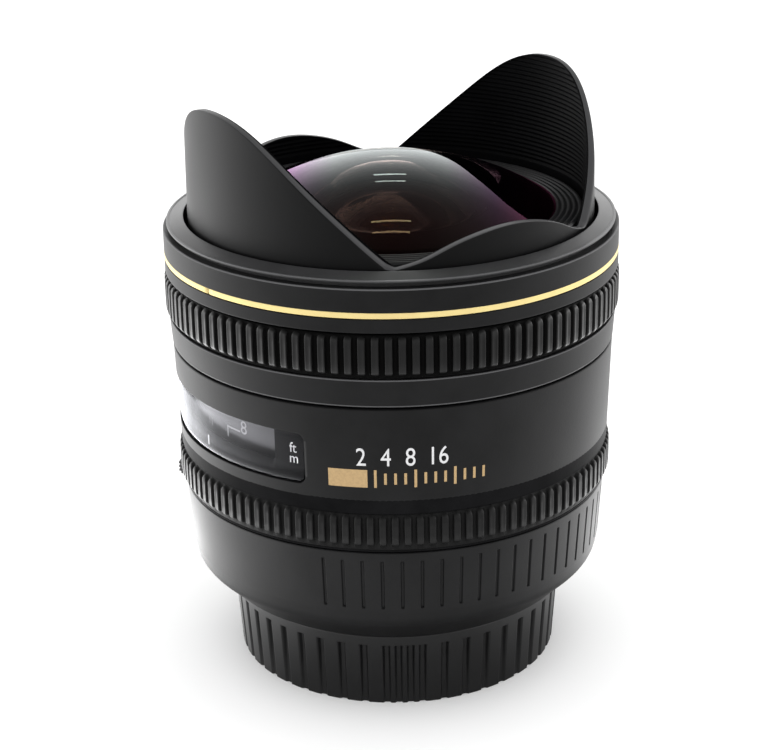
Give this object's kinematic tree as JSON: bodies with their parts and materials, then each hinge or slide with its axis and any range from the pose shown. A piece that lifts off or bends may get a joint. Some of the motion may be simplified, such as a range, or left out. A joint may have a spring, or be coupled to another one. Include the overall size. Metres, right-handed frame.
{
  "type": "fisheye lens",
  "caption": "Short black fisheye lens with a four-petal hood, bulging front glass, ribbed focus ring, distance window, focus mode switch, working iris and a fluted rear cap.",
  "frame": {"origin": "on the optical axis, at the bottom face of the rear cap", "axes": "+Z along the optical axis towards the front, -Y through the middle of the distance window, +X to the right of the window when the lens lies with its front away"},
  "size_m": [0.0756, 0.0756, 0.0986],
  "materials": {
    "black_shell": "fine matte black",
    "cap_plastic": "satin moulded black",
    "inner_black": "flat black",
    "grip_rubber": "soft black rubber",
    "black_metal": "black anodised",
    "gold": "satin gold",
    "mount_metal": "bright turned metal",
    "screw_steel": "steel",
    "contact_gold": "gold plated",
    "board_green": "solder mask",
    "chip_black": "moulded",
    "clear_pane": "clear moulded pane",
    "lens_glass": "coated optical glass",
    "alloy": "turned alloy",
    "scale_black": "satin black with white figures",
    "blade_steel": "blackened steel"
  },
  "bodies": {
    "barrel": {"mount_bayonet": "mount_metal", "mount_screws": "screw_steel", "contact_block": "inner_black", "contact_pins": "contact_gold", "rear_baffle": "inner_black", "filter_holder": "inner_black", "rear_barrel": "black_shell", "switch_plate": "black_shell", "circuit_board": "board_green", "circuit_chips": "chip_black", "main_barrel": "black_shell", "window_mask": "inner_black", "window_pane": "clear_pane", "lower_grip_rubber": "grip_rubber", "guide_sleeve": "alloy", "motor_spring": "screw_steel", "motor_stator": "alloy", "motor_rotor": "alloy", "inner_barrel": "alloy", "front_barrel": "black_shell", "gold_ring": "gold", "front_rim_ring": "black_metal", "petal_hood": "black_metal"},
    "cam_unit": {"cam_ring": "alloy", "roller_cage": "alloy", "roller_axles": "screw_steel", "distance_scale_drum": "scale_black"},
    "focus_unit": {"focus_ring": "black_shell", "focus_rubber": "grip_rubber", "focus_drive_sleeve": "alloy"},
    "optics_unit": {"front_cell": "black_metal", "front_retaining_ring": "black_metal", "middle_cell": "black_metal", "rear_cell": "black_metal", "iris_housing": "black_metal", "iris_motor": "screw_steel", "cam_followers": "contact_gold", "glass_group_1": "lens_glass", "glass_group_2": "lens_glass", "glass_group_3": "lens_glass", "glass_group_4": "lens_glass", "glass_group_5": "lens_glass", "glass_group_6": "lens_glass", "glass_group_7": "lens_glass"},
    "iris_ring": {"iris_ring": "alloy"},
    "iris_pinion": {"iris_pinion": "contact_gold"},
    "switch_knob": {"switch_knob": "cap_plastic"},
    "rear_cap": {"rear_cap": "cap_plastic"},
    "roller_1": {"roller_1": "screw_steel"},
    "roller_2": {"roller_2": "screw_steel"},
    "roller_3": {"roller_3": "screw_steel"},
    "iris_blade_1": {"iris_blade_1": "blade_steel"},
    "iris_blade_2": {"iris_blade_2": "blade_steel"},
    "iris_blade_3": {"iris_blade_3": "blade_steel"},
    "iris_blade_4": {"iris_blade_4": "blade_steel"},
    "iris_blade_5": {"iris_blade_5": "blade_steel"},
    "iris_blade_6": {"iris_blade_6": "blade_steel"},
    "iris_blade_7": {"iris_blade_7": "blade_steel"}
  },
  "joints": [
    {"name": "focus_ring_turn", "type": "hinge", "parent": "barrel", "child": "focus_unit", "pos_m": [0, 0, 0.06], "axis": [0, 0, 1], "range_deg": [-22, 68]},
    {"name": "scale_turn", "type": "hinge", "parent": "barrel", "child": "cam_unit", "pos_m": [0, 0, 0.05], "axis": [0, 0, 1], "range_deg": [-11, 34]},
    {"name": "optics_slide", "type": "slide", "parent": "barrel", "child": "optics_unit", "axis": [0, 0, 1], "range_m": [-0.00073, 0.00227]},
    {"name": "iris_turn", "type": "hinge", "parent": "optics_unit", "child": "iris_ring", "pos_m": [0, 0, 0.043], "axis": [0, 0, 1], "range_deg": [-16, 0]},
    {"name": "roller_1_spin", "type": "hinge", "parent": "cam_unit", "child": "roller_1", "pos_m": [0.02832, -0.01635, 0.0417], "axis": [0.866, -0.5, 0], "range_deg": [-694.98, 224.91]},
    {"name": "roller_2_spin", "type": "hinge", "parent": "cam_unit", "child": "roller_2", "pos_m": [0, 0.0327, 0.0417], "axis": [0, 1, 0], "range_deg": [-694.98, 224.91]},
    {"name": "roller_3_spin", "type": "hinge", "parent": "cam_unit", "child": "roller_3", "pos_m": [-0.02832, -0.01635, 0.0417], "axis": [-0.866, -0.5, 0], "range_deg": [-694.98, 224.91]},
    {"name": "iris_pinion_turn", "type": "hinge", "parent": "optics_unit", "child": "iris_pinion", "pos_m": [-0.01628, 0.0094, 0.043], "axis": [0, 0, 1], "range_deg": [0, 109.4]},
    {"name": "iris_blade_1_swing", "type": "hinge", "parent": "optics_unit", "child": "iris_blade_1", "pos_m": [0.01, 0, 0.042], "axis": [0, 0, 1], "range_deg": [0, 28]},
    {"name": "iris_blade_2_swing", "type": "hinge", "parent": "optics_unit", "child": "iris_blade_2", "pos_m": [0.00623, 0.00782, 0.042], "axis": [0, 0, 1], "range_deg": [0, 28]},
    {"name": "iris_blade_3_swing", "type": "hinge", "parent": "optics_unit", "child": "iris_blade_3", "pos_m": [-0.00223, 0.00975, 0.042], "axis": [0, 0, 1], "range_deg": [0, 28]},
    {"name": "iris_blade_4_swing", "type": "hinge", "parent": "optics_unit", "child": "iris_blade_4", "pos_m": [-0.00901, 0.00434, 0.042], "axis": [0, 0, 1], "range_deg": [0, 28]},
    {"name": "iris_blade_5_swing", "type": "hinge", "parent": "optics_unit", "child": "iris_blade_5", "pos_m": [-0.00901, -0.00434, 0.042], "axis": [0, 0, 1], "range_deg": [0, 28]},
    {"name": "iris_blade_6_swing", "type": "hinge", "parent": "optics_unit", "child": "iris_blade_6", "pos_m": [-0.00223, -0.00975, 0.042], "axis": [0, 0, 1], "range_deg": [0, 28]},
    {"name": "iris_blade_7_swing", "type": "hinge", "parent": "optics_unit", "child": "iris_blade_7", "pos_m": [0.00623, -0.00782, 0.042], "axis": [0, 0, 1], "range_deg": [0, 28]},
    {"name": "switch_slide", "type": "slide", "parent": "barrel", "child": "switch_knob", "axis": [0, 0, 1], "range_m": [-0.0024, 0]},
    {"name": "rear_cap_turn", "type": "hinge", "parent": "barrel", "child": "rear_cap", "pos_m": [0, 0, 0.006], "axis": [0, 0, 1], "range_deg": [0, 60]}
  ],
  "couplings": [
    {"joint": "scale_turn", "follows": "focus_ring_turn", "ratio": 0.5},
    {"joint": "optics_slide", "follows": "focus_ring_turn", "m_per_rad": 0.0019099},
    {"joint": "roller_1_spin", "follows": "focus_ring_turn", "ratio": -10.219},
    {"joint": "roller_2_spin", "follows": "focus_ring_turn", "ratio": -10.219},
    {"joint": "roller_3_spin", "follows": "focus_ring_turn", "ratio": -10.219},
    {"joint": "iris_pinion_turn", "follows": "iris_turn", "ratio": -6.8333},
    {"joint": "iris_blade_1_swing", "follows": "iris_turn", "ratio": -1.75},
    {"joint": "iris_blade_2_swing", "follows": "iris_turn", "ratio": -1.75},
    {"joint": "iris_blade_3_swing", "follows": "iris_turn", "ratio": -1.75},
    {"joint": "iris_blade_4_swing", "follows": "iris_turn", "ratio": -1.75},
    {"joint": "iris_blade_5_swing", "follows": "iris_turn", "ratio": -1.75},
    {"joint": "iris_blade_6_swing", "follows": "iris_turn", "ratio": -1.75},
    {"joint": "iris_blade_7_swing", "follows": "iris_turn", "ratio": -1.75}
  ]
}
